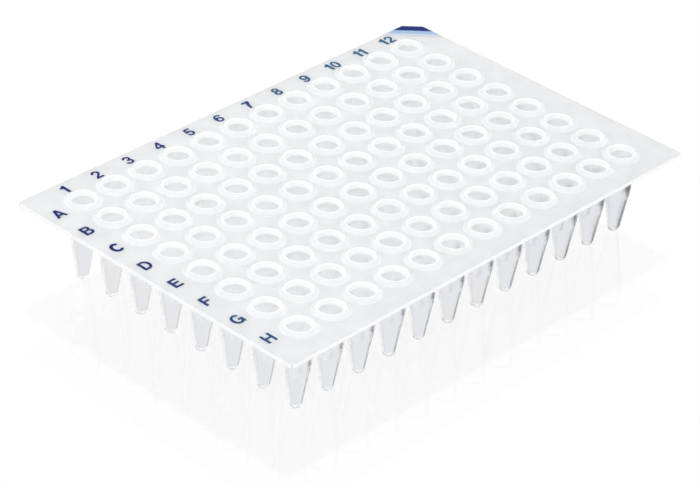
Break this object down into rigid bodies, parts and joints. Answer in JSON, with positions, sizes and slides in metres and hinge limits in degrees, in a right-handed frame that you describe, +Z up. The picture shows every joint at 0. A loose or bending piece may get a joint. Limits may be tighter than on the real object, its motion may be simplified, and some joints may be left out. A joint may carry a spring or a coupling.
{
  "type": "well plate",
  "caption": "Non-skirted thermal cycling plate: a flat deck carrying a grid of thin conical tubes with raised rims, lettered rows and numbered columns, and one cut corner.",
  "frame": {"origin": "on the floor, under the middle of the deck and of the tube grid, at the height of the tube tips", "axes": "+X runs along the lettered rows from column 1 to column 12, +Y runs towards row A, and +Z points up out of the tubes"},
  "size_m": [0.12, 0.08, 0.02],
  "materials": {
    "natural_polypropylene": "satin",
    "blue_print": "satin"
  },
  "bodies": {
    "root": {"plate": "natural_polypropylene"}
  },
  "joints": []
}
